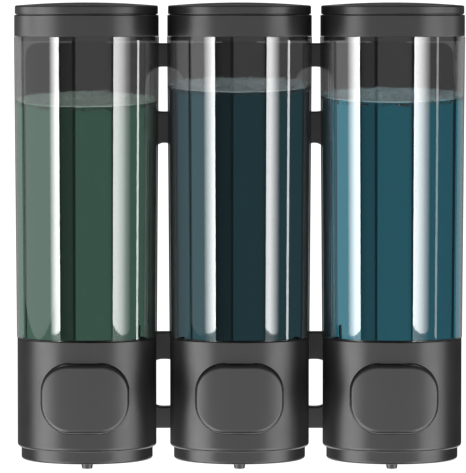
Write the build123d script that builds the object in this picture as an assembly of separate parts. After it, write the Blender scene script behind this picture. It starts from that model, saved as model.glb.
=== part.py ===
from build123d import *
from math import asin, cos, degrees, radians, sin
import os

# Wall mounted soap dispenser with three chambers, in millimetres, +Z up.
# The wall is the plane y = 0 and the front faces -Y. The origin is the centre of the wall screw pattern.
# Each dispensing unit is modelled about its own upright axis and moved to its station at the end.

# ---- whole object ----
pitch = 68.0                # between the units' axes
stations = {"left": -pitch, "middle": 0.0, "right": pitch}
axis_y = -42.0              # the units' axes stand this far in front of the wall
soap_tops = {"left": 62.5, "middle": 69.0, "right": 64.5}
running = 0.05              # radial clearance of what slides in a bore
clear = 0.3                 # gap between parts that move past each other

# ---- heights ----
lid_top = 104.7             # edge of the lid's disc
lid_dome = 1.4              # how far the lid's middle stands above its edge
lid_bottom = 101.0
collar_top = 100.6
collar_bottom = 91.1
plug_bottom = 94.0          # the lid's plug, with the groove for its seal
seal_z = (96.0, 97.6)
spigot_bottom = 89.0        # the collar's spigot in the tank's mouth
tank_top = 91.0
tank_bottom = -42.8
foot_bottom = -47.5         # the tank's foot inside the housing
housing_bottom = -91.5
base_bottom = -97.0
nozzle_tip = -101.7
button_z = -67.8            # middle of the button, and axis of the pump

# ---- radii ----
lid_r = 31.8
shoulder_r = 31.2           # the lid's shoulder, seen as the groove under its edge
collar_r = 32.1
collar_bore_r = 27.5
tank_top_r = 32.2
tank_bottom_r = 31.2
tank_wall = 1.6
tank_floor = 1.6
tank_inner_round = 1.0
housing_r = 30.95
housing_wall = 2.2
housing_in = housing_r - housing_wall
base_r = 29.25
base_screw_r = 25.2         # circle of the three base screws
base_screw_angles = (90, 210, 330)
base_screw_seat = -93.9

# ---- button ----
button_width = 38.4
button_height = 30.6
button_corner = 12.8
button_gap = 0.45
button_proud = 3.2          # middle of the face in front of the housing
button_face_r = 38.0        # the face is part of an upright cylinder
button_wall = 2.2

# ---- pump ----
barrel_r = 10.5
bore_r = 8.5
barrel_front = -21.0
chamber_back = 13.0
piston_back = -11.0         # rear face of the piston at rest
piston_long = 6.0
stem_r = 4.0
stem_front = -30.0
neck_r = 6.0
neck_hole_r = 4.0
neck_end = -50.0
socket_in = 7.5
socket_out = 9.5
socket_top = -46.0
socket_seat = -54.0
port_r = 2.5
outlet_r = 6.5
outlet_in = 4.5
outlet_end = -87.0
nozzle_r = 3.0
nozzle_tip_r = 2.3
ear_x = 15.0
ear_y = 9.0
ear_thick = 3.0
screw_core_r = 1.1          # blind holes that the screws cut into
post_z = (-88.0, -79.0)     # posts for the base screws

# ---- wall frame ----
frame_depth = 6.0
frame_skin = 2.4
spine_half = 29.0
spine_top = 88.0
spine_bottom = -88.0
rail_upper = (42.7, 87.9)
rail_lower = (-87.1, -43.2)
window_upper = (56.9, 77.2)
window_lower = (-77.3, -55.6)
window_half = 8.8
window_corner = 8.0
gap_lower = (rail_lower[1], 7.0)    # the gap between spines is wider below mid height
gap_half = 6.7
gap_corner = 4.9
spine_corner = 6.0
pocket_corner = 3.6
rib_half = 26.0
rib_heights = (-30.0, 0.0, 30.0)
screw_x = pitch             # wall screws, from the middle of the pattern
screw_z = 50.0
screw_hole_r = 2.2
tongue_z = (-79.5, -62.0)
tongue_stem = 5.0
tongue_head = 9.0
hook_half = 8.0
hook_thick = 2.2
hook_end = 80.0
hook_arm_z = (93.0, 97.0)

os.makedirs("parts", exist_ok=True)


def solid(shape):
    """The shape as one plain solid."""
    solids = shape.solids()
    return solids[0] if len(solids) == 1 else Compound(children=list(solids))


def disc(radius, low, high, x=0.0, y=0.0):
    """Upright cylinder between two heights."""
    return Pos(x, y, (low + high) / 2) * Cylinder(radius, high - low)


def block(x_range, y_range, z_range):
    """Box between two corners."""
    size = [b - a for a, b in (x_range, y_range, z_range)]
    middle = [(a + b) / 2 for a, b in (x_range, y_range, z_range)]
    return Pos(*middle) * Box(*size)


def rod(radius, y_low, y_high, x=0.0, z=button_z):
    """Cylinder lying along Y."""
    return Pos(x, (y_low + y_high) / 2, z) * Rot(90, 0, 0) * Cylinder(radius, y_high - y_low)


def turned(*points):
    """Solid of revolution about the unit's axis, from (radius, height) points."""
    return revolve(Plane.XZ * make_face(Polyline(*points, close=True)), Axis.Z)


def oblong(width, height, corner, y_low, y_high, z=button_z):
    """Rounded oblong in the XZ plane, between two depths."""
    outline = Plane.XZ.offset(-y_low) * Pos(0, z) * RectangleRounded(width, height, corner)
    return extrude(outline, -(y_high - y_low))


def tank_radius(z):
    """Outer radius of the tapered tank at a height."""
    share = (z - tank_bottom) / (tank_top - tank_bottom)
    return tank_bottom_r + share * (tank_top_r - tank_bottom_r)


# ---- lid end ----
def make_lid():
    plug_r = collar_bore_r - 0.15
    plug_in = plug_r - 2.0
    groove_r = plug_r - 1.0
    ledge = lid_bottom + 2.0
    crown = lid_top + lid_dome
    under = Polyline(
        (0, ledge),
        (plug_in, ledge),
        (plug_in, plug_bottom),
        (plug_r, plug_bottom),
        (plug_r, seal_z[0]),
        (groove_r, seal_z[0]),
        (groove_r, seal_z[1]),
        (plug_r, seal_z[1]),
        (plug_r, collar_top + 0.05),
        (shoulder_r, collar_top + 0.05),
        (shoulder_r, lid_bottom),
        (lid_r, lid_bottom),
        (lid_r, lid_top),
    )
    dome_r = (lid_r ** 2 + lid_dome ** 2) / (2 * lid_dome)
    spread = degrees(asin(lid_r / dome_r))
    dome = CenterArc((0, crown - dome_r), dome_r, 90 - spread, spread)
    section = make_face(under + dome + Line((0, crown), (0, ledge)))
    rim = section.vertices().sort_by(Axis.X)[-2:].sort_by(Axis.Y)
    section = fillet(rim[1], 0.8)
    section = fillet(section.vertices().sort_by(Axis.X)[-2:].sort_by(Axis.Y)[0], 0.3)
    return revolve(Plane.XZ * section, Axis.Z)


def make_lid_seal():
    low, high = seal_z
    inner = collar_bore_r - 1.15
    return disc(collar_bore_r - 0.03, low + 0.05, high - 0.05) - disc(inner, low, high)


def make_collar():
    spigot_r = tank_radius(spigot_bottom) - tank_wall - 0.1
    ring = disc(collar_r, collar_bottom, collar_top)
    ring = fillet(ring.edges().sort_by(Axis.Z)[-1], 0.5)
    ring = fillet(ring.edges().sort_by(Axis.Z)[0], 0.2)
    arm_back = -axis_y - 1.1
    arm = block((-hook_half, hook_half), (collar_r - 3.0, arm_back), hook_arm_z)
    tongue = block((-hook_half, hook_half), (arm_back - hook_thick, arm_back), (hook_end, hook_arm_z[1]))
    hook = fillet((arm + tongue).edges().filter_by(Axis.X).sort_by(Axis.Z)[-2:], 1.2)
    body = ring + disc(spigot_r, spigot_bottom, collar_bottom + 0.5) + hook
    return body - disc(collar_bore_r, spigot_bottom - 1, collar_top + 1)


# ---- tank ----
def make_tank():
    outer = turned(
        (0, tank_bottom),
        (tank_bottom_r, tank_bottom),
        (tank_top_r, tank_top),
        (0, tank_top),
    )
    outer = fillet(outer.edges().sort_by(Axis.Z)[-1], 0.2)
    outer = fillet(outer.edges().sort_by(Axis.Z)[0], 0.3)
    floor_z = tank_bottom + tank_floor
    inner = turned(
        (0, floor_z),
        (tank_radius(floor_z) - tank_wall, floor_z),
        (tank_radius(tank_top + 1) - tank_wall, tank_top + 1),
        (0, tank_top + 1),
    )
    inner = fillet(inner.edges().sort_by(Axis.Z)[0], tank_inner_round)
    spigot = disc(housing_in - 0.25, foot_bottom, tank_bottom)
    spigot = spigot - disc(housing_in - 2.25, foot_bottom - 0.5, tank_bottom)
    neck = disc(neck_r, neck_end, tank_bottom)
    return outer - inner + spigot + neck - disc(neck_hole_r, neck_end - 1, floor_z + 1)


def make_soap(top):
    floor_z = tank_bottom + tank_floor
    film = 0.1
    column = turned(
        (0, floor_z + film),
        (tank_radius(floor_z) - tank_wall - film, floor_z + film),
        (tank_radius(top) - tank_wall - film, top),
        (0, top),
    )
    column = fillet(column.edges().sort_by(Axis.Z)[0], tank_inner_round)
    return column + disc(neck_hole_r - film, neck_end + 0.5, floor_z + 1)


def make_tank_gasket():
    return disc(socket_in - 0.05, -51.9, neck_end - 0.05) - disc(neck_hole_r, -53, neck_end)


# ---- housing ----
def base_screw_place(angle):
    return base_screw_r * cos(radians(angle)), base_screw_r * sin(radians(angle))


def make_housing():
    shell = disc(housing_r, housing_bottom, tank_bottom - 0.05)
    shell = fillet(shell.edges().sort_by(Axis.Z)[-1], 0.5)
    shell = fillet(shell.edges().sort_by(Axis.Z)[0], 1.7)
    rear = -axis_y - frame_depth - 0.5
    hanger = block((-15, 15), (housing_in - 1, rear), (-80.0, -50.0))
    hanger = fillet(hanger.edges().filter_by(Axis.Z).sort_by(Axis.Y)[-2:], 1.5)
    shell = shell + hanger - disc(housing_in, housing_bottom - 1, tank_bottom + 1)
    # T slot for the frame's tongue, open below and shut above
    slot_top = tongue_z[1] + 0.1
    tongue_face = -axis_y - frame_depth
    head = block(
        (-tongue_head - clear, tongue_head + clear),
        (tongue_face - 4.9, tongue_face - 2.1),
        (-81.0, slot_top),
    )
    stem = block(
        (-tongue_stem - clear, tongue_stem + clear),
        (tongue_face - 3.0, tongue_face + 1.0),
        (-81.0, slot_top),
    )
    opening = oblong(
        button_width + 2 * button_gap,
        button_height + 2 * button_gap,
        button_corner + button_gap,
        -housing_r - 2,
        -15,
    )
    shell = shell - head - stem - opening
    for angle in base_screw_angles:
        x, y = base_screw_place(angle)
        post = disc(4.0, post_z[0], post_z[1], x, y) & disc(housing_r - 0.5, *post_z)
        shell = shell + post - disc(screw_core_r, post_z[0] - 1, post_z[1] - 1, x, y)
    for x in (-ear_x, ear_x):
        post = rod(3.4, ear_y + ear_thick, housing_in + 0.5, x)
        post = post & disc(housing_r - 0.5, button_z - 5, button_z + 5)
        shell = shell + post - rod(screw_core_r, ear_y, 22.0, x)
    return shell


def make_base_cover():
    plate = disc(base_r, base_bottom, housing_bottom - 0.05)
    plate = fillet(plate.edges().sort_by(Axis.Z)[0], 1.3)
    ring = disc(housing_in - 0.15, housing_bottom - 0.1, -88.1) - disc(housing_in - 2.0, -93, -87)
    hollow = disc(20.5, -93.7, -91.0)
    collar = disc(5.0, -93.7, -91.8)
    plate = plate + ring - hollow + collar - disc(3.2, base_bottom - 1, -90)
    dish = Pos(0, 0, base_bottom) * Cone(7.0, 3.2, 1.6, align=(Align.CENTER, Align.CENTER, Align.MIN))
    plate = plate - dish
    for angle in base_screw_angles:
        x, y = base_screw_place(angle)
        post = disc(3.4, -92.0, -88.1, x, y) & disc(housing_in - 0.15, -93, -88)
        plate = plate + post - disc(1.5, base_bottom - 1, -87, x, y)
        plate = plate - disc(2.8, base_bottom - 1, base_screw_seat, x, y)
    return plate


def screw(length, head_r, head_long, shank_r):
    """Pan head screw pointing up +Z, with its head's seat at z = 0, and a cross recess below."""
    head = disc(head_r, -head_long, 0)
    head = fillet(head.edges().sort_by(Axis.Z)[0], head_long * 0.45)
    shank = disc(shank_r, 0, length)
    shank = chamfer(shank.edges().sort_by(Axis.Z)[-1], shank_r * 0.5)
    slot = Pos(0, 0, -head_long) * (Box(head_r * 1.1, 0.5, 1.2) + Box(0.5, head_r * 1.1, 1.2))
    return head + shank - slot


def make_base_screws():
    one = screw(11.5, 2.5, 1.5, 1.05)
    places = [base_screw_place(angle) for angle in base_screw_angles]
    return Compound(children=[Pos(x, y, base_screw_seat) * one for x, y in places])


def make_pump_screws():
    one = Rot(-90, 0, 0) * screw(10.0, 2.6, 1.5, 1.05)
    return Compound(children=[Pos(x, ear_y, button_z) * one for x in (-ear_x, ear_x)])


# ---- button ----
def button_body(width, height, corner, face_r, front, y_low, y_high):
    """Oblong prism whose front is part of an upright cylinder."""
    prism = oblong(width, height, corner, y_low, y_high)
    return prism & (Pos(0, front + face_r, button_z) * Cylinder(face_r, height * 2))


def make_button():
    front = -housing_r - button_proud
    skirt_end = -19.0
    outer = button_body(
        button_width, button_height, button_corner, button_face_r, front, front - 2, skirt_end
    )
    rim = outer.faces().sort_by(Axis.Y)[0].edges()
    outer = fillet(rim, 2.0)
    inner = button_body(
        button_width - 2 * button_wall,
        button_height - 2 * button_wall,
        button_corner - button_wall,
        button_face_r - button_wall,
        front + button_wall,
        front,
        skirt_end + 1,
    )
    body = outer - inner
    # stops above and below that rest behind the housing's wall
    for side in (-1, 1):
        edge = button_z + side * (button_height / 2)
        stop = block(
            (-6, 6),
            (-housing_in + 0.85, -housing_in + 3.8),
            tuple(sorted((edge - side * 1.0, edge + side * 1.8))),
        )
        body = body + stop
    boss = rod(6.3, front + 1.5, -24.0)
    return body + boss - rod(stem_r + 0.02, stem_front - 0.2, -20.0)


# ---- pump ----
def make_piston():
    piston_front = piston_back - piston_long
    head = rod(bore_r - 0.1, piston_front, piston_back)
    groove_low = piston_front + 2.0
    groove = rod(bore_r + 1, groove_low, groove_low + 2.0) - rod(bore_r - 1.5, groove_low, groove_low + 2.0)
    seat = rod(6.8, piston_back - 1.2, piston_back) - rod(5.0, piston_back - 1.2, piston_back)
    stem = rod(stem_r, stem_front, piston_front + 0.5)
    return head + stem - groove - seat


def make_piston_seal():
    low = piston_back - piston_long + 2.05
    ring = rod(bore_r - running, low, low + 1.9)
    return ring - rod(bore_r - 1.45, low - 1, low + 3)


def make_return_spring():
    low = piston_back - 1.15
    high = chamber_back - 0.05
    wire = 0.45
    turns = 6
    length = high - low - 2 * wire
    coil = Helix(pitch=length / turns, height=length, radius=5.9)
    section = Plane(origin=coil @ 0, z_dir=coil % 0) * Circle(wire)
    spring = sweep(section, path=coil)
    return Pos(0, high - wire, button_z) * Rot(90, 0, 0) * spring


def make_pump_body():
    barrel = rod(barrel_r, barrel_front, chamber_back + 2.0)
    socket = disc(socket_out, -56.0, socket_top)
    riser = disc(5.5, button_z, -55.0)
    outlet = disc(outlet_r, outlet_end, button_z)
    ears = block((-ear_x - 3.5, ear_x + 3.5), (ear_y, ear_y + ear_thick), (button_z - 3.5, button_z + 3.5))
    ears = fillet(ears.edges().filter_by(Axis.Y), 2.5)
    body = barrel + socket + riser + outlet + ears
    body = body - rod(bore_r, barrel_front - 1, chamber_back)
    body = body - disc(socket_in, socket_seat, socket_top + 1)
    body = body - disc(port_r, button_z, -50.0)
    body = body - disc(port_r, outlet_end - 1, button_z)
    body = body - disc(outlet_in, outlet_end - 1, -80.5)
    for x in (-ear_x, ear_x):
        body = body - rod(1.4, ear_y - 1, ear_y + ear_thick + 1, x)
    return body


def make_inlet_valve():
    """Silicone flap on the socket's seat: a rim with a tongue held at one side."""
    flap = disc(socket_in - 0.1, socket_seat + 0.05, socket_seat + 1.0)
    slit = disc(5.0, -55, -52) - disc(4.3, -55, -52) - block((-3, 3), (0, 8), (-56, -51))
    stand = disc(socket_in - 0.1, socket_seat + 0.9, -51.95) - disc(5.8, -55, -51)
    return flap - slit + stand


def make_outlet_valve():
    """Duckbill: a flanged cup that narrows to a slit lip."""
    flange = disc(outlet_in - 0.05, -81.8, -80.6)
    bill = Pos(0, 0, -85.0) * Cone(1.2, 3.4, 3.2, align=(Align.CENTER, Align.CENTER, Align.MIN))
    hollow = Pos(0, 0, -84.4) * Cone(0.5, 2.5, 3.9, align=(Align.CENTER, Align.CENTER, Align.MIN))
    slit = block((-0.9, 0.9), (-0.1, 0.1), (-86, -84))
    return flange + bill - hollow - slit


def make_nozzle():
    cup = disc(outlet_in - 0.05, outlet_end - 0.5, -81.9) - disc(3.5, outlet_end, -81)
    flange = disc(outlet_r, outlet_end - 1.5, outlet_end - 0.05)
    spout = turned(
        (0, outlet_end - 0.5),
        (nozzle_r, outlet_end - 0.5),
        (nozzle_r, base_bottom),
        (nozzle_tip_r, nozzle_tip),
        (0, nozzle_tip),
    )
    spout = fillet(spout.edges().sort_by(Axis.Z)[0], 0.4)
    return cup + flange + spout - disc(1.3, nozzle_tip - 1, outlet_end + 1)


# ---- wall frame ----
def opening(x, z_range, half, corner, grow=0.0):
    low, high = z_range
    tall = high - low + 2 * grow
    return Pos(x, (low + high) / 2) * RectangleRounded(2 * (half + grow), tall, corner + grow)


def openings(grow=0.0):
    """The oval windows in the rails and the wide part of each gap."""
    face = Sketch()
    for x in (-pitch / 2, pitch / 2):
        for z_range in (window_upper, window_lower):
            face = face + opening(x, z_range, window_half, window_corner, grow)
        face = face + opening(x, gap_lower, gap_half, gap_corner, grow)
    return face


def frame_outline():
    """Three spines joined by two rails, with round corners and openings."""
    face = Sketch()
    for x in stations.values():
        spine = Rectangle(2 * spine_half, spine_top - spine_bottom)
        face = face + Pos(x, (spine_top + spine_bottom) / 2) * spine
    for low, high in (rail_upper, rail_lower):
        face = face + Pos(0, (low + high) / 2) * Rectangle(2 * pitch, high - low)
    face = fillet([v for v in face.vertices() if abs(v.X) > pitch + spine_half - 1], spine_corner)
    upper_notch = [v for v in face.vertices() if abs(v.X) < pitch and 0 < v.Y < rail_upper[0] + 1]
    return fillet(upper_notch, gap_corner) - openings()


def frame_pocket():
    """What is hollow behind the frame's skin: the outline drawn in by one wall."""
    face = Sketch()
    wall = frame_skin
    for x in stations.values():
        spine = RectangleRounded(2 * (spine_half - wall), spine_top - spine_bottom - 2 * wall, pocket_corner)
        face = face + Pos(x, (spine_top + spine_bottom) / 2) * spine
    for low, high in (rail_upper, rail_lower):
        face = face + Pos(0, (low + high) / 2) * Rectangle(2 * pitch, high - low - 2 * wall)
    return face - openings(wall)


def make_wall_frame():
    front = Plane.XZ.offset(frame_depth)
    body = extrude(front * frame_outline(), -frame_depth)
    body = fillet(body.faces().sort_by(Axis.Y)[0].edges(), 0.8)
    body = body - extrude(Plane.XZ * frame_pocket(), frame_depth - frame_skin)
    pocket = (-frame_depth + frame_skin - 0.5, 0.0)
    for x in stations.values():
        ribs = [block((x - 1.0, x + 1.0), pocket, (spine_bottom + 1, 78.0))]
        for z in rib_heights:
            ribs.append(block((x - rib_half, x + rib_half), pocket, (z - 1.0, z + 1.0)))
        for rib in ribs:
            body = body + rib
        # slot in the top wall for the collar's hook
        body = body - block((x - hook_half - clear, x + hook_half + clear), (-3.6, -0.8), (79.0, 89.0))
        stem = block((x - tongue_stem, x + tongue_stem), (-frame_depth - 2.4, -frame_depth + 0.5), tongue_z)
        head = block((x - tongue_head, x + tongue_head), (-frame_depth - 4.6, -frame_depth - 2.4), tongue_z)
        head = chamfer(head.edges().filter_by(Axis.X).sort_by(Axis.Z)[-2:], 0.6)
        body = body + stem + head
    for x in (-screw_x, screw_x):
        for z in (-screw_z, screw_z):
            boss = rod(5.5, -frame_depth + 0.5, 0.0, x, z)
            sink = Pos(x, -frame_depth, z) * Rot(-90, 0, 0) * Cone(
                4.2, screw_hole_r, 2.0, align=(Align.CENTER, Align.CENTER, Align.MIN)
            )
            body = body + boss - sink - rod(screw_hole_r, -frame_depth - 1, 1.0, x, z)
    return body


# ---- writing ----
unit_parts = {
    "lid": make_lid(),
    "lid_seal": make_lid_seal(),
    "collar": make_collar(),
    "tank": make_tank(),
    "tank_gasket": make_tank_gasket(),
    "housing": make_housing(),
    "base_cover": make_base_cover(),
    "base_screws": make_base_screws(),
    "button": make_button(),
    "pump_body": make_pump_body(),
    "pump_screws": make_pump_screws(),
    "piston": make_piston(),
    "piston_seal": make_piston_seal(),
    "return_spring": make_return_spring(),
    "inlet_valve": make_inlet_valve(),
    "outlet_valve": make_outlet_valve(),
    "nozzle": make_nozzle(),
}

export_step(solid(make_wall_frame()), "parts/wall_frame.step")
for side, x in stations.items():
    spot = Pos(x, axis_y, 0)
    for name, shape in unit_parts.items():
        export_step(spot * solid(shape), f"parts/{name}_{side}.step")
    export_step(spot * solid(make_soap(soap_tops[side])), f"parts/soap_{side}.step")
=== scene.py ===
import bmesh
import bpy
import random
from math import atan2, cos, degrees, hypot, pi, radians, sin, tan
from mathutils import Matrix, Vector


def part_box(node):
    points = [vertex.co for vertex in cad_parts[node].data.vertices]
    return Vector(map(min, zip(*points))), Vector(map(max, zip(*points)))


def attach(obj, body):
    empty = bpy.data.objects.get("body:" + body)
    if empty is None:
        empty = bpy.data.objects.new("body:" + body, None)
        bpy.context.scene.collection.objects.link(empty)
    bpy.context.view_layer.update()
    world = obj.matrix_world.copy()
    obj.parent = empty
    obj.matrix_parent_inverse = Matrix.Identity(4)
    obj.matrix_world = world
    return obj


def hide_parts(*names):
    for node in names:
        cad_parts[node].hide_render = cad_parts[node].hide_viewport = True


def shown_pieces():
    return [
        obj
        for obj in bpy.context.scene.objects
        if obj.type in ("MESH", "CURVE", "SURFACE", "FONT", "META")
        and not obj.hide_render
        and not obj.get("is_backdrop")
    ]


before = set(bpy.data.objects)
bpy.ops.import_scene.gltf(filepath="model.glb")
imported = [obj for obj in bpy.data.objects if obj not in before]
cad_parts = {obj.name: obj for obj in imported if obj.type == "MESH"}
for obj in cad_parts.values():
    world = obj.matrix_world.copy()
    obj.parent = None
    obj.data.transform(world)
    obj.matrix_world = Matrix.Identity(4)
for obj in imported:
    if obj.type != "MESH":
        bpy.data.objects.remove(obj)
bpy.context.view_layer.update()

scene = bpy.context.scene
mm = 0.001
sides = ("left", "middle", "right")
print("frame loaded,", len(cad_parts), "parts")


def placeOf(azimuth, elevation, distance, centre):
    # a point at a compass angle from the front, positive towards +X
    flat = distance * cos(radians(elevation))
    return centre + Vector((
        flat * sin(radians(azimuth)),
        -flat * cos(radians(azimuth)),
        distance * sin(radians(elevation)),
    ))


def unitCentre(side):
    low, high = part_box("tank_" + side)
    return (low + high) / 2


view = {
    "distance": 1.870,     # metres in front of the units' axes
    "eyeLevel": 0.0960,
    "aimX": -0.0029,
    "aimZ": 0.0020,
    "lens": 320,
}


def addCamera():
    axisY = unitCentre("middle").y
    aim = Vector((view["aimX"], axisY, view["aimZ"]))
    eye = Vector((view["aimX"], axisY - view["distance"], view["eyeLevel"]))
    data = bpy.data.cameras.new("studioCamera")
    data.lens = view["lens"]
    data.clip_end = 50
    camera = bpy.data.objects.new("studioCamera", data)
    camera.location = eye
    camera.rotation_euler = (aim - eye).to_track_quat("-Z", "Y").to_euler()
    scene.collection.objects.link(camera)
    scene.camera = camera


addCamera()


def addNode(tree, kind, settings={}, links={}):
    # adds one node, sets its properties and input values, and joins its inputs
    node = tree.nodes.new("ShaderNode" + kind)
    for name, value in settings.items():
        if isinstance(name, int) or name in node.inputs:
            node.inputs[name].default_value = value
        else:
            setattr(node, name, value)
    for name, socket in links.items():
        tree.links.new(socket, node.inputs[name])
    return node


def fromHex(code):
    # sRGB hex to the linear colour that a shader takes
    parts = [int(code[i:i + 2], 16) / 255 for i in (1, 3, 5)]
    return (*[c / 12.92 if c <= 0.04045 else ((c + 0.055) / 1.055) ** 2.4 for c in parts], 1.0)


studio = {
    "distance": 2.6,       # metres from a panel to what it lights
    "cameraWhite": 1.15,
    "mirrored": 0.04,      # the dark room that glossy surfaces see between the panels
    "ambient": 0.25,
}
# Every tank has its own ring of soft boxes, given by the angles on the tank's face, in degrees from the
# line to the camera, between which each one shows, and by its brightness at shares of its width.
# The outer wall shows the first list, and the wet film and the soap behind it show the second.
wallPanels = {
    "left": {
        "backSheen": (-86, -63.5, [(0, 0.40), (1, 0.62)]),
        "leftSheen": (-60.5, -22.2, [(0, 0.58), (1, 0.62)]),
        "leftStrip": (-31.0, -22.1, [(0, 0), (0.62, 6.44), (1, 7.82)]),
        "rightStrip": (21.3, 37.9, [(0, 5.17), (0.25, 4.6), (0.5, 3.1), (0.72, 1.15), (1, 0)]),
        "thinStrip": (44.0, 46.2, [(0, 4.14), (1, 4.14)]),
    },
    "middle": {
        "backSheen": (-86, -62, [(0, 0.08), (1, 0.20)]),
        "leftSheen": (-43, -20, [(0, 0.28), (1, 0.28)]),
        "leftSheenOut": (-61.5, -45, [(0, 0.15), (1, 0.22)]),
        "leftStrip": (-29.8, -19.5, [(0, 0), (0.8, 6.67), (1, 7.82)]),
        "rightStrip": (21.5, 34.4, [(0, 4.94), (0.2, 5.75), (0.33, 5.29), (0.62, 2.53), (0.9, 0.34), (1, 0)]),
        "thinStrip": (41.3, 43.7, [(0, 4.14), (1, 4.14)]),
    },
    "right": {
        "backSheen": (-86, -62, [(0, 0.12), (1, 0.28)]),
        "leftSheen": (-52.5, -26.5, [(0, 0.28), (1, 0.28)]),
        "leftSheenOut": (-63, -53.5, [(0, 0.28), (1, 0.20)]),
        "leftStrip": (-38.5, -26.3, [(0, 0), (0.62, 6.32), (1, 7.82)]),
        "rightStrip": (17.1, 31.8, [(0, 7.59), (0.25, 6.32), (0.5, 4.25), (0.72, 1.95), (1, 0)]),
        "thinStrip": (37.0, 39.2, [(0, 1.6), (1, 1.6)]),
        "backRight": (64, 86, [(0, 0.35), (0.4, 0.50), (1, 0.22)]),
    },
}
soapPanels = {
    "left": {
        "farLeft": (-86, -63.5, [(0, 0.6), (1, 0.6)]),
        "soapOnlyFlank": (-60.5, -22.5, [(0, 0.47), (1, 0.47)]),
        "dim": (-21.5, -11.6, [(0, 0.05), (0.6, 0.09), (1, 0.10)]),
        "front": (-9.4, 20.9, [(0, 0.33), (0.85, 0.33), (1, 0.27)]),
        "rightFlank": (21.5, 66, [(0, 0.36), (0.8, 0.36), (1, 0.16)]),
    },
    "middle": {
        "farLeft": (-86, -62, [(0, 0.2), (1, 0.4)]),
        "leftFlankOut": (-61.5, -45, [(0, 0.45), (1, 0.6)]),
        "leftFlank": (-43, -20, [(0, 0.72), (1, 0.72)]),
        "dim": (-18.7, -7.2, [(0, 0.03), (0.5, 0.08), (1, 0.09)]),
        "front": (-5.2, 21.0, [(0, 0.27), (0.85, 0.27), (1, 0.22)]),
        "rightFlank": (21.6, 68, [(0, 0.34), (0.8, 0.34), (1, 0.15)]),
    },
    "right": {
        "farLeft": (-86, -62, [(0, 0.2), (1, 0.5)]),
        "leftFlankOut": (-63, -53.5, [(0, 0.7), (1, 0.55)]),
        "leftFlank": (-52.5, -26.5, [(0, 0.72), (1, 0.72)]),
        "dim": (-25.7, -14.4, [(0, 0.13), (0.5, 0.17), (1, 0.17)]),
        "front": (-12.3, 16.1, [(0, 0.30), (0.85, 0.30), (1, 0.24)]),
        "rightFlank": (17.1, 59.5, [(0, 0.32), (1, 0.28)]),
        "farRight": (64, 86, [(0, 0.5), (1, 0.6)]),
    },
}
tankSpan = (-45, 14)       # degrees of elevation
# the dark band that ends the bright strips at the tank's foot: its middle and half width, in shares of a
# panel's height, and the share of light kept there
footBand = (0.6247, 0.0195, 0.12)
# The black mouldings share larger and softer boxes, in degrees from the front: two sides, front and rear.
mouldingPanels = {
    "softLeft": (-97, -47, (-58, 6), [(0, 3.0), (0.4, 6.0), (1, 5.0)]),
    "softRight": (45, 93, (-58, 6), [(0, 4.2), (0.6, 4.8), (1, 2.4)]),
    "softFront": (-40, 40, (-58, 6), [(0, 1.5), (1, 1.5)]),
    "softOuter": (-165, -115, (-40, 6), [(0, 0.12), (1, 0.12)]),
    "rearLow": (150, 210, (-55, -16), [(0, 1.4), (1, 1.4)]),
    "rearHigh": (150, 210, (38, 62), [(0, 2.0), (1, 2.0)]),
}
# Two more for the lids and collars, which catch light further round.
collarPanels = {
    "collarLeft": (-124, -97, (-58, 6), [(0, 2.0), (1, 5.0)]),
    "collarRight": (93, 120, (-58, 6), [(0, 3.0), (1, 1.2)]),
}
floorPanels = {
    "floorLight": (-30, 30, (58, 86), [(0, 3.0), (1, 3.0)]),
}


def addPanel(name, centre, azimuths, elevations, stops, darkBand=None):
    # a soft box that looks at the centre, with its brightness at shares of its width
    azimuth, elevation = sum(azimuths) / 2, sum(elevations) / 2
    data = bpy.data.lights.new(name, "AREA")
    data.shape = "RECTANGLE"
    data.size = 2 * studio["distance"] * tan(radians(azimuths[1] - azimuths[0]) / 2)
    data.size_y = 2 * studio["distance"] * tan(radians(elevations[1] - elevations[0]) / 2)
    data.energy = pi * data.size * data.size_y      # a node strength of 1 is then a radiance of 1
    data.use_nodes = True
    tree = data.node_tree
    tree.nodes.clear()
    spot = addNode(tree, "NewGeometry")
    split = addNode(tree, "SeparateXYZ", {}, {0: spot.outputs["Parametric"]})
    ramp = addNode(tree, "ValToRGB", {}, {"Fac": split.outputs["X"]})
    top = max(level for at, level in stops)
    elements = ramp.color_ramp.elements
    for at, level in stops[1:-1]:
        elements.new(at)
    for element, (at, level) in zip(elements, stops):
        element.position = at
        element.color = (level / top,) * 3 + (1,)
    strength = addNode(tree, "Math", {"operation": "MULTIPLY", 1: top}, {0: ramp.outputs["Color"]})
    if darkBand:
        middle, half, kept = darkBand
        inside = addNode(tree, "Math", {"operation": "COMPARE", 1: middle, 2: half}, {0: split.outputs["Y"]})
        shade = addNode(tree, "MapRange", {"To Min": 1.0, "To Max": kept}, {"Value": inside.outputs[0]})
        strength = addNode(tree, "Math", {"operation": "MULTIPLY"},
                           {0: strength.outputs[0], 1: shade.outputs[0]})
    emit = addNode(tree, "Emission", {}, {"Strength": strength.outputs[0]})
    addNode(tree, "OutputLight", {}, {"Surface": emit.outputs[0]})
    panel = bpy.data.objects.new(name, data)
    panel.location = placeOf(azimuth, elevation, studio["distance"], centre)
    panel.rotation_euler = (centre - panel.location).to_track_quat("-Z", "Y").to_euler()
    panel.visible_camera = False
    scene.collection.objects.link(panel)
    return panel


def ringPanels(panels, side, darkBand=None):
    centre = unitCentre(side)
    toCamera = scene.camera.location - centre
    facing = degrees(atan2(toCamera.x, -toCamera.y))
    return [
        addPanel(name + "_" + side, centre, (facing + 2 * start, facing + 2 * end), tankSpan, stops, darkBand)
        for name, (start, end, stops) in panels[side].items()
    ]


def roomPanels(panels):
    return [addPanel(name, unitCentre("middle"), (start, end), span, stops)
            for name, (start, end, span, stops) in panels.items()]


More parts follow.
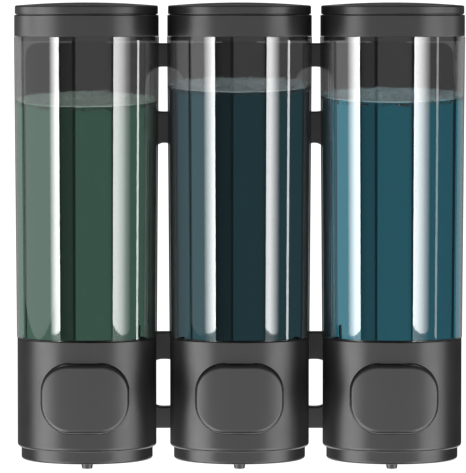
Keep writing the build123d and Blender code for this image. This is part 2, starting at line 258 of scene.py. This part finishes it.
wallLights = {side: ringPanels(wallPanels, side, footBand) for side in sides}
soapLights = {side: ringPanels(soapPanels, side) for side in sides}
mouldingLights = roomPanels(mouldingPanels)
collarLights = roomPanels(collarPanels)
floorLights = roomPanels(floorPanels)


def addWorld():
    world = bpy.data.worlds.new("paleRoom")
    scene.world = world
    world.use_nodes = True
    tree = world.node_tree
    tree.nodes.clear()
    ray = addNode(tree, "LightPath")
    level = addNode(tree, "MapRange", {"To Min": studio["ambient"], "To Max": studio["mirrored"]},
                    {"Value": ray.outputs["Is Glossy Ray"]})
    seen = addNode(tree, "MapRange", {"To Max": studio["cameraWhite"]},
                   {"Value": ray.outputs["Is Camera Ray"], "To Min": level.outputs[0]})
    back = addNode(tree, "Background", {"Color": (1, 1, 1, 1)}, {"Strength": seen.outputs[0]})
    addNode(tree, "OutputWorld", {}, {"Surface": back.outputs[0]})


addWorld()
scene.view_settings.view_transform = "Standard"
scene.cycles.transparent_max_bounces = 24      # enough to look through a tank and its froth

floorSpec = {"radius": 1.6, "height": -0.33, "segments": 96, "colour": "#e6e6e4", "roughness": 0.75}


def addFloor():
    # matt paint: pale, with hardly any shine
    bm = bmesh.new()
    bmesh.ops.create_circle(bm, cap_ends=True, segments=floorSpec["segments"], radius=floorSpec["radius"],
                            matrix=Matrix.Translation((0, 0, floorSpec["height"])))
    mesh = bpy.data.meshes.new("studioFloor")
    bm.to_mesh(mesh)
    bm.free()
    floor = bpy.data.objects.new("studioFloor", mesh)
    scene.collection.objects.link(floor)
    paint = bpy.data.materials.new("matt floor paint")
    paint.use_nodes = True
    shader = paint.node_tree.nodes["Principled BSDF"]
    shader.inputs["Base Color"].default_value = fromHex(floorSpec["colour"])
    shader.inputs["Roughness"].default_value = floorSpec["roughness"]
    mesh.materials.append(paint)
    floor.visible_glossy = False      # the panels below it still show in glossy parts
    floor.visible_shadow = False
    floor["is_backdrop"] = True
    return floor


floor = addFloor()
print("camera, lights and floor placed")

smoothAngle = 35           # degrees


def finishPiece(name, bm, body, materials, replaced=()):
    # a mesh becomes a piece that rides on its body
    mesh = bpy.data.meshes.new(name)
    bm.to_mesh(mesh)
    bm.free()
    for polygon in mesh.polygons:
        polygon.use_smooth = True
    mesh.set_sharp_from_angle(angle=radians(smoothAngle))
    for material in materials:
        mesh.materials.append(material)
    piece = bpy.data.objects.new(name, mesh)
    scene.collection.objects.link(piece)
    even = piece.modifiers.new("evenNormals", "WEIGHTED_NORMAL")
    even.keep_sharp = True
    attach(piece, body)
    if replaced:
        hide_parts(*replaced)
    return piece


turning = {"steps": 160, "weld": 0.001, "match": 0.002, "roundSegments": 4}     # weld and match in mm


def turn(outline, centre, closed=False):
    # spins an outline of (radius, height, rounding) in mm about an upright axis, then rounds its corners
    bm = bmesh.new()
    verts = [bm.verts.new((point[0] * mm, 0, point[1] * mm)) for point in outline]
    pairs = list(zip(verts, verts[1:]))
    if closed:
        pairs.append((verts[-1], verts[0]))
    edges = [bm.edges.new(pair) for pair in pairs]
    bmesh.ops.spin(bm, geom=verts + edges, cent=(0, 0, 0), axis=(0, 0, 1), dvec=(0, 0, 0),
                   angle=2 * pi, steps=turning["steps"], use_merge=True)
    bmesh.ops.remove_doubles(bm, verts=bm.verts, dist=turning["weld"] * mm)
    match = turning["match"] * mm
    for radius, height, rounding in [point for point in outline if len(point) > 2]:
        ring = [e for e in bm.edges
                if all(abs(hypot(v.co.x, v.co.y) - radius * mm) < match
                       and abs(v.co.z - height * mm) < match for v in e.verts)]
        bmesh.ops.bevel(bm, geom=ring, offset=rounding * mm, offset_type="OFFSET",
                        segments=turning["roundSegments"], profile=0.5, affect="EDGES", material=-1)
    bmesh.ops.translate(bm, verts=bm.verts, vec=(centre.x, centre.y, 0))
    bmesh.ops.recalc_face_normals(bm, faces=bm.faces)
    return bm


def newMaterial(name):
    material = bpy.data.materials.new(name)
    material.use_nodes = True
    material.node_tree.nodes.clear()
    return material, material.node_tree


# moulded ABS: a black that is never quite black, with soft broad highlights off a fine spark-eroded grain
plastics = {
    "frame_abs": {"name": "moulded frame ABS", "dark": "#161617", "light": "#1a1a1b", "rough": (0.42, 0.50),
                  "grain": 0.45, "depth": 0.010, "ior": 1.52},
    "black_abs": {"name": "moulded black ABS", "dark": "#19191a", "light": "#1d1d1e", "rough": (0.32, 0.38),
                  "grain": 0.45, "depth": 0.006, "ior": 1.52},
    "black_button": {"name": "moulded button ABS", "dark": "#1e1e1f", "light": "#222223",
                     "rough": (0.32, 0.37), "grain": 0.45, "depth": 0.008, "ior": 1.52},
    "pump_plastic": {"name": "moulded acetal", "dark": "#d5d5d1", "light": "#dededa", "rough": (0.34, 0.42),
                     "grain": 0.6, "depth": 0.005, "ior": 1.48},
    "piston_plastic": {"name": "moulded polypropylene", "dark": "#e0e0dd", "light": "#e8e8e5",
                       "rough": (0.40, 0.48), "grain": 0.6, "depth": 0.005, "ior": 1.49},
    "silicone": {"name": "moulded silicone", "dark": "#cac9c4", "light": "#d4d3ce", "rough": (0.48, 0.58),
                 "grain": 0.5, "depth": 0.006, "ior": 1.41},
}
plasticCloud = 14          # mm, the slow drift of tone and gloss over a moulding


def mouldedPlastic(spec):
    material, tree = newMaterial(spec["name"])
    place = addNode(tree, "TexCoord").outputs["Object"]
    grain = addNode(tree, "TexNoise", {"Scale": 1 / (spec["grain"] * mm), "Detail": 3.0, "Roughness": 0.55},
                    {"Vector": place})
    cloud = addNode(tree, "TexNoise", {"Scale": 1 / (plasticCloud * mm), "Detail": 2.0}, {"Vector": place})
    colour = addNode(tree, "Mix", {"data_type": "RGBA", 6: fromHex(spec["dark"]), 7: fromHex(spec["light"])},
                     {0: cloud.outputs["Fac"]})
    rough = addNode(tree, "MapRange", {"From Min": 0.3, "From Max": 0.7, "To Min": spec["rough"][0],
                                       "To Max": spec["rough"][1]}, {"Value": cloud.outputs["Fac"]})
    bump = addNode(tree, "Bump", {"Strength": 0.35, "Distance": spec["depth"] * mm},
                   {"Height": grain.outputs["Fac"]})
    shader = addNode(tree, "BsdfPrincipled", {"IOR": spec["ior"]},
                     {"Base Color": colour.outputs[2], "Roughness": rough.outputs[0],
                      "Normal": bump.outputs[0]})
    addNode(tree, "OutputMaterial", {}, {"Surface": shader.outputs[0]})
    return material


# drawn steel: a bright grey metal with fine lines from the die
steels = {
    "spring_steel": {"name": "drawn spring steel", "dark": "#a9abad", "light": "#c6c8ca",
                     "rough": (0.22, 0.34), "line": 0.12},
    "screw_steel": {"name": "zinc plated steel", "dark": "#9c9fa2", "light": "#b9bcbf",
                    "rough": (0.28, 0.42), "line": 0.25},
}


def drawnSteel(spec):
    material, tree = newMaterial(spec["name"])
    place = addNode(tree, "TexCoord").outputs["Object"]
    lines = addNode(tree, "TexNoise", {"Scale": 1 / (spec["line"] * mm), "Detail": 2.0}, {"Vector": place})
    colour = addNode(tree, "Mix", {"data_type": "RGBA", 6: fromHex(spec["dark"]), 7: fromHex(spec["light"])},
                     {0: lines.outputs["Fac"]})
    rough = addNode(tree, "MapRange", {"To Min": spec["rough"][0], "To Max": spec["rough"][1]},
                    {"Value": lines.outputs["Fac"]})
    shader = addNode(tree, "BsdfPrincipled", {"Metallic": 1.0},
                     {"Base Color": colour.outputs[2], "Roughness": rough.outputs[0]})
    addNode(tree, "OutputMaterial", {}, {"Surface": shader.outputs[0]})
    return material


finishes = {slot: mouldedPlastic(spec) for slot, spec in plastics.items()}
finishes.update({slot: drawnSteel(spec) for slot, spec in steels.items()})

nodeFinish = {
    "wall_frame": "frame_abs", "collar": "black_abs", "lid": "black_abs", "lid_seal": "silicone",
    "tank_gasket": "silicone", "housing": "black_abs", "base_cover": "black_abs",
    "base_screws": "screw_steel", "button": "black_button", "pump_body": "pump_plastic",
    "pump_screws": "screw_steel", "piston": "piston_plastic", "piston_seal": "silicone",
    "return_spring": "spring_steel", "inlet_valve": "silicone", "outlet_valve": "silicone",
    "nozzle": "black_abs",
}
for node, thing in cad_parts.items():
    kind = node
    for side in sides:
        kind = kind.removesuffix("_" + side)
    if kind in nodeFinish:
        for place in thing.material_slots:
            place.material = finishes[nodeFinish[kind]]
    if kind in ("housing", "button", "base_cover"):
        thing.visible_glossy = False      # else the next tank mirrors them as dark blots
print("finishes on the packed parts")

# sizes in mm
tankSpec = {
    "wall": 0.75,            # a round wall magnifies what is in it, so the tank looks full to its outline
    "floor": 0.4,
    "footGap": 0.05,         # between the housing and the tank's foot
    "lipRound": 0.2,
    "mouthRound": 0.1,
    "innerRound": 0.3,
    "neckRadius": 6.0,
    "neckBore": 4.0,
    "spigotRadius": 28.5,
    "spigotWall": 2.0,
    "spigotDrop": 4.7,
    "topRadius": 32.2,
    "bottomRadius": 31.2,
    "outerFrom": 30,         # faces that look outwards from further out than this are the outer wall
    "outerTint": "#f9f9f9",  # share of the light that each face lets through
    "innerTint": "#e7e7e7",
    "edgeTint": "#565656",
    "slantFrom": 0.70,
    "slantTo": 0.88,
    "roughness": 0.015,
    "ior": 2.33,             # a mirror tint lifts the polycarbonate's own 1.58
}


def tankEnds(side):
    # heights of the tank's foot and mouth, in mm
    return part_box("housing_" + side)[1].z / mm + tankSpec["footGap"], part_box("tank_" + side)[1].z / mm


def tankRadius(z, low, high):
    share = (z - low) / (high - low)
    return tankSpec["bottomRadius"] + share * (tankSpec["topRadius"] - tankSpec["bottomRadius"])


def boreRadius(side, z, gap=0):
    # radius inside the tank's wall at a height, less a gap
    return tankRadius(z, *tankEnds(side)) - tankSpec["wall"] - gap


def smokedWall(name, glossy):
    # smoked polycarbonate: clear and dark, mirror bright on its outer face only
    material, tree = newMaterial(name)
    clear = addNode(tree, "BsdfTransparent", {"Color": fromHex(tankSpec["innerTint"])})
    out = clear
    if glossy:
        # a slanting look goes through more of the wall, so its edges are darker
        slant = addNode(tree, "LayerWeight", {"Blend": 0.5})
        depth = addNode(tree, "MapRange", {"From Min": tankSpec["slantFrom"], "From Max": tankSpec["slantTo"],
                                           "interpolation_type": "SMOOTHSTEP"},
                        {"Value": slant.outputs["Facing"]})
        tint = addNode(tree, "Mix", {"data_type": "RGBA", 6: fromHex(tankSpec["outerTint"]),
                                     7: fromHex(tankSpec["edgeTint"])}, {0: depth.outputs[0]})
        tree.links.new(tint.outputs[2], clear.inputs["Color"])
        mirror = addNode(tree, "BsdfGlossy", {"Roughness": tankSpec["roughness"]})
        facing = addNode(tree, "Fresnel", {"IOR": tankSpec["ior"]})
        back = addNode(tree, "NewGeometry")
        front = addNode(tree, "Math", {"operation": "SUBTRACT", 0: 1.0}, {1: back.outputs["Backfacing"]})
        share = addNode(tree, "Math", {"operation": "MULTIPLY"}, {0: facing.outputs[0], 1: front.outputs[0]})
        out = addNode(tree, "MixShader", {}, {0: share.outputs[0], 1: clear.outputs[0], 2: mirror.outputs[0]})
    addNode(tree, "OutputMaterial", {}, {"Surface": out.outputs[0]})
    return material


outerWall = smokedWall("smoked polycarbonate", True)
innerWall = smokedWall("smoked polycarbonate inside", False)


def makeTank(side):
    centre = unitCentre(side)
    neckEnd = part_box("tank_" + side)[0].z / mm
    bottom, top = tankEnds(side)
    floorZ = bottom + tankSpec["floor"]
    spigot, spigotBore = tankSpec["spigotRadius"], tankSpec["spigotRadius"] - tankSpec["spigotWall"]
    outline = [
        (tankSpec["neckBore"], neckEnd),
        (tankSpec["neckRadius"], neckEnd),
        (tankSpec["neckRadius"], bottom),
        (spigotBore, bottom),
        (spigotBore, bottom - tankSpec["spigotDrop"]),
        (spigot, bottom - tankSpec["spigotDrop"]),
        (spigot, bottom),
        (tankSpec["bottomRadius"], bottom, tankSpec["lipRound"]),
        (tankSpec["topRadius"], top, tankSpec["lipRound"]),
        (tankSpec["topRadius"] - tankSpec["wall"], top, tankSpec["mouthRound"]),
        (boreRadius(side, floorZ), floorZ, tankSpec["innerRound"]),
        (tankSpec["neckBore"], floorZ),
    ]
    bm = turn(outline, centre, closed=True)
    for face in bm.faces:
        out = face.calc_center_median() - centre
        flat = hypot(out.x, out.y)
        outward = (out.x * face.normal.x + out.y * face.normal.y) / max(flat, 1e-9)
        face.material_index = 0 if outward > 0.2 and flat > tankSpec["outerFrom"] * mm else 1
    return finishPiece("tank_wall_" + side, bm, "unit_" + side, [outerWall, innerWall],
                       ["tank_" + side])


tanks = {side: makeTank(side) for side in sides}
print("tanks made")

soapLean = 4.6             # degrees
leanReach = 5              # mm above and below the level
soapGap = 0.04             # mm from the tank's wall and floor
soapRound = 0.2            # mm
soapShineRoughness = 0.02
soapSpec = {
    "left": {"slot": "green_soap", "rise": 0.3, "body": "#16281f", "shine": (0.145, 0.317, 0.236)},
    "middle": {"slot": "dark_teal_soap", "rise": 0.2, "body": "#0a1c22", "shine": (0.044, 0.139, 0.166)},
    "right": {"slot": "blue_teal_soap", "rise": 0.25, "body": "#0b2a33", "shine": (0.068, 0.352, 0.465)},
}


def liquidSoap(side):
    # tinted liquid soap: deep colour with a glassy, tinted shine against the wall
    spec = soapSpec[side]
    material, tree = newMaterial("liquid soap " + side)
    deep = addNode(tree, "BsdfDiffuse", {"Color": fromHex(spec["body"])})
    shine = addNode(tree, "BsdfGlossy", {"Roughness": soapShineRoughness, "Color": (*spec["shine"], 1)})
    both = addNode(tree, "AddShader", {}, {0: deep.outputs[0], 1: shine.outputs[0]})
    addNode(tree, "OutputMaterial", {}, {"Surface": both.outputs[0]})
    return material


def soapLevel(side):
    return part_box("soap_" + side)[1].z / mm + soapSpec[side]["rise"]


def leanLevel(bm, centre, level):
    # tips what is near the soap's level, so that it stands higher on the wall side than at the front
    for vert in bm.verts:
        if abs(vert.co.z - level * mm) < leanReach * mm:
            vert.co.z += (vert.co.y - centre.y) * tan(radians(soapLean))


def makeSoap(side):
    centre = unitCentre(side)
    floorZ = tankEnds(side)[0] + tankSpec["floor"] + soapGap
    top = soapLevel(side)
    outline = [
        (0, floorZ),
        (boreRadius(side, floorZ, soapGap), floorZ, soapRound),
        (boreRadius(side, top, soapGap), top),
        (0, top),
    ]
    bm = turn(outline, centre)
    leanLevel(bm, centre, top)
    return finishPiece("soap_column_" + side, bm, "unit_" + side, [liquidSoap(side)],
                       ["soap_" + side])


soaps = {side: makeSoap(side) for side in sides}

# sizes in mm
filmSpec = {
    "gap": 0.02,             # from the tank's wall
    "thick": 0.05,
    "above": 0.05,           # clear of the soap's level, and as much short of the tank's mouth
    "tint": "#b4b4b4",
    "mirrored": 0.235,
    "roughness": 0.02,
}


def wetFilm():
    # the thin wet film that soap leaves on the wall above its level, which dims what is behind it and
    # mirrors a little
    material, tree = newMaterial("soap film")
    clear = addNode(tree, "BsdfTransparent", {"Color": fromHex(filmSpec["tint"])})
    shine = addNode(tree, "BsdfGlossy", {"Roughness": filmSpec["roughness"]})
    back = addNode(tree, "NewGeometry")
    share = addNode(tree, "MapRange", {"To Min": filmSpec["mirrored"], "To Max": 0.0},
                    {"Value": back.outputs["Backfacing"]})
    both = addNode(tree, "MixShader", {}, {0: share.outputs[0], 1: clear.outputs[0], 2: shine.outputs[0]})
    addNode(tree, "OutputMaterial", {}, {"Surface": both.outputs[0]})
    return material


filmOuter = wetFilm()


def makeFilm(side):
    centre = unitCentre(side)
    tankTop = tankEnds(side)[1]
    level = soapLevel(side) + filmSpec["above"]
    bottomRadius = boreRadius(side, level, filmSpec["gap"])
    topRadius = boreRadius(side, tankTop, filmSpec["gap"])
    outline = [
        (bottomRadius, level),
        (topRadius, tankTop - filmSpec["above"]),
        (topRadius - filmSpec["thick"], tankTop - filmSpec["above"]),
        (bottomRadius - filmSpec["thick"], level),
    ]
    bm = turn(outline, centre, closed=True)
    leanLevel(bm, centre, level)
    for face in bm.faces:
        out = face.calc_center_median() - centre
        face.material_index = 0 if out.x * face.normal.x + out.y * face.normal.y > 0 else 1
    return finishPiece("soap_film_" + side, bm, "unit_" + side,
                       [filmOuter, innerWall])


films = {side: makeFilm(side) for side in sides}

# sizes in mm
frothSpec = {
    "bubbles": 520,
    "sizes": (0.35, 1.15),         # radius
    "standing": (-0.3, 0.6),       # height of a bubble's middle over the sheet, in radii
    # the bubbles just below the front rim have near-black skins, a painted reflection of the froth in the
    # soap's surface
    "wallBubbles": 120,            # small ones under the front rim
    "wallSizes": (0.3, 0.55),      # least radius, and how much more the largest has
    "wallDepth": (0.3, 1.7),
    "gap": 0.1,                    # from the tank's wall
    "sheetFrom": 0.02,
    "sheet": 0.5,                  # thickness of the froth between the bubbles
    "sheetRound": 0.1,
    "rimLine": 0.32,               # radius of the wet bead round the edge
    "cell": 1.9,
    "cellDepth": 0.6,
    "patch": 5,
}
# the darkest tint of each is not the bubbles' own colour: it is a painted reflection of the froth in the
# soap's surface, put on the bubbles below the front rim
frothTints = {
    "left": {"pale": "#9db3aa", "dark": "#14211b", "bead": "#b4d2c4", "under": "#060d0a"},
    "middle": {"pale": "#9aabac", "dark": "#131c1e", "bead": "#a8bfc2", "under": "#04090b"},
    "right": {"pale": "#98b6bc", "dark": "#11242a", "bead": "#b0d0d6", "under": "#04100f"},
}
soapIor = 1.33             # froth and bubbles are mostly water


def frothSheet(side):
    # froth: closely packed cells, pale where the bubbles are small and darker in the larger ones
    tint = frothTints[side]
    material, tree = newMaterial("soap froth " + side)
    place = addNode(tree, "TexCoord").outputs["Object"]
    cells = addNode(tree, "TexVoronoi", {"Scale": 1 / (frothSpec["cell"] * mm)}, {"Vector": place})
    patches = addNode(tree, "TexNoise", {"Scale": 1 / (frothSpec["patch"] * mm), "Detail": 3.0},
                      {"Vector": place})
    both = addNode(tree, "Math", {"operation": "MULTIPLY"},
                   {0: cells.outputs["Distance"], 1: patches.outputs["Fac"]})
    level = addNode(tree, "MapRange", {"From Min": 0.10, "From Max": 0.40}, {"Value": both.outputs[0]})
    colour = addNode(tree, "Mix", {"data_type": "RGBA", 6: fromHex(tint["dark"]), 7: fromHex(tint["pale"])},
                     {0: level.outputs[0]})
    bump = addNode(tree, "Bump", {"Strength": 1.0, "Distance": frothSpec["cellDepth"] * mm},
                   {"Height": cells.outputs["Distance"]})
    shader = addNode(tree, "BsdfPrincipled", {"IOR": soapIor, "Roughness": 0.22},
                     {"Base Color": colour.outputs[2], "Normal": bump.outputs[0]})
    addNode(tree, "OutputMaterial", {}, {"Surface": shader.outputs[0]})
    return material


def bubbleSkin(name, code, clear):
    # one bubble: a thin wet skin, clear when looked through and mirror bright at its edge
    material, tree = newMaterial(name)
    place = addNode(tree, "TexCoord").outputs["Object"]
    drift = addNode(tree, "TexNoise", {"Scale": 1 / (2 * mm)}, {"Vector": place})
    rough = addNode(tree, "MapRange", {"To Min": 0.03, "To Max": 0.12}, {"Value": drift.outputs["Fac"]})
    through = addNode(tree, "BsdfTransparent", {"Color": (1, 1, 1, 1)})
    skin = addNode(tree, "BsdfPrincipled", {"IOR": soapIor, "Base Color": fromHex(code)},
                   {"Roughness": rough.outputs[0]})
    slant = addNode(tree, "LayerWeight", {"Blend": 0.4})
    share = addNode(tree, "MapRange", {"To Min": 1 - clear, "To Max": 1.0},
                    {"Value": slant.outputs["Facing"]})
    both = addNode(tree, "MixShader", {}, {0: share.outputs[0], 1: through.outputs[0], 2: skin.outputs[0]})
    addNode(tree, "OutputMaterial", {}, {"Surface": both.outputs[0]})
    return material


def bubbleShape(slot):
    bm = bmesh.new()
    bmesh.ops.create_icosphere(bm, subdivisions=2, radius=mm)
    for face in bm.faces:
        face.material_index = slot
    mesh = bpy.data.meshes.new("bubble")
    bm.to_mesh(mesh)
    bm.free()
    return mesh


openSlot, beadSlot, paintedReflectionSlot = 1, 2, 3     # places in the froth's list of materials, after the sheet's
bubbleShapes = {"open": bubbleShape(openSlot), "sunken": bubbleShape(paintedReflectionSlot)}


def addBubble(bm, kind, radius, spot):
    move = Matrix.Translation(spot) @ Matrix.Scale(radius, 4)
    bubbleShapes[kind].transform(move)
    bm.from_mesh(bubbleShapes[kind])
    bubbleShapes[kind].transform(move.inverted())


def addBead(bm, centre, edge, level):
    # the wet bead where the froth meets the wall
    bead = frothSpec["rimLine"]
    ring = [(edge - bead + bead * cos(step * pi / 4), level + bead * sin(step * pi / 4)) for step in range(8)]
    beadRing = turn(ring, centre, closed=True)
    beadMesh = bpy.data.meshes.new("bead")
    beadRing.to_mesh(beadMesh)
    beadRing.free()
    count = len(bm.faces)
    bm.from_mesh(beadMesh)
    bm.faces.ensure_lookup_table()
    for face in bm.faces[count:]:
        face.material_index = beadSlot


def makeFroth(side):
    rng = random.Random("froth " + side)
    centre = unitCentre(side)
    level = soapLevel(side)
    edge = boreRadius(side, level, frothSpec["gap"])
    lean = tan(radians(soapLean))
    sheet = frothSpec["sheet"]
    bm = turn([
        (0, level + frothSpec["sheetFrom"]),
        (edge, level + frothSpec["sheetFrom"]),
        (edge, level + sheet, frothSpec["sheetRound"]),
        (0, level + sheet),
    ], centre)
    addBead(bm, centre, edge, level)
    leanLevel(bm, centre, level)
    small, large = frothSpec["sizes"]
    for step in range(frothSpec["bubbles"]):
        radius = small + (large - small) * rng.random() ** 3      # most are small
        share = 1 - 0.9 * rng.random() ** 1.6                     # and most are near the wall
        flat = (edge - radius) * share
        turnTo = rng.uniform(0, 2 * pi)
        x, y = flat * cos(turnTo), flat * sin(turnTo)
        z = level + y * lean + sheet + radius * rng.uniform(*frothSpec["standing"])
        addBubble(bm, "open", radius, (centre.x + x * mm, centre.y + y * mm, z * mm))
    # bubbles just below the front rim, skinned near black as a painted reflection of the froth in the soap's
    # surface
    least, more = frothSpec["wallSizes"]
    for step in range(frothSpec["wallBubbles"]):
        radius = least + more * rng.random() ** 2
        turnTo = rng.uniform(pi, 2 * pi)                          # the front half
        flat = edge - radius * 0.2
        x, y = flat * cos(turnTo), flat * sin(turnTo)
        z = level + y * lean - rng.uniform(*frothSpec["wallDepth"])
        addBubble(bm, "sunken", radius, (centre.x + x * mm, centre.y + y * mm, z * mm))
    tint = frothTints[side]
    # the last skin is the near-black painted reflection for the bubbles below the rim
    skins = [frothSheet(side), bubbleSkin("soap bubbles " + side, tint["pale"], 0.75),
             bubbleSkin("wet bead " + side, tint["bead"], 0.1),
             bubbleSkin("painted reflection bubbles " + side, tint["under"], 0.35)]
    return finishPiece("soap_froth_" + side, bm, "unit_" + side, skins)


froths = {side: makeFroth(side) for side in sides}

frothPanel = {"azimuths": (-18, 12), "elevations": (28, 44), "level": 48}


def addFrothLight(side):
    # a soft light over each tank for its froth alone, which the smoked wall would leave in the dark
    level = frothPanel["level"]
    lamp = addPanel("frothLight_" + side, unitCentre(side), frothPanel["azimuths"], frothPanel["elevations"],
                    [(0, level), (1, level)])
    lamp.data.use_shadow = False
    return lamp


frothLights = {side: addFrothLight(side) for side in sides}
print("soap made")


def lightOnly(lamp, things):
    group = bpy.data.collections.new(lamp.name + "Lit")
    for thing in things:
        group.objects.link(thing)
    lamp.light_linking.receiver_collection = group


clearParts = {side: [tanks[side], soaps[side], films[side]] for side in sides}
for side in sides:
    for lamp in wallLights[side]:
        lightOnly(lamp, [tanks[side]])
    for lamp in soapLights[side]:
        lightOnly(lamp, [soaps[side]] if "soapOnly" in lamp.name else [soaps[side], films[side]])
    for thing in clearParts[side]:
        thing.visible_glossy = False      # so that tanks show their panels and not each other
    lightOnly(frothLights[side], [froths[side]])
    froths[side].visible_glossy = False
solidParts = [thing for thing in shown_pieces()
              if not any(thing in clearParts[side] for side in sides)] + [floor]
for lamp in mouldingLights:
    lightOnly(lamp, solidParts)
for lamp in floorLights:
    lightOnly(lamp, [floor])
lidsAndCollars = [thing for node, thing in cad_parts.items() if node.startswith(("collar", "lid_"))]
for lamp in collarLights:
    lightOnly(lamp, lidsAndCollars)
print("lights shared out")
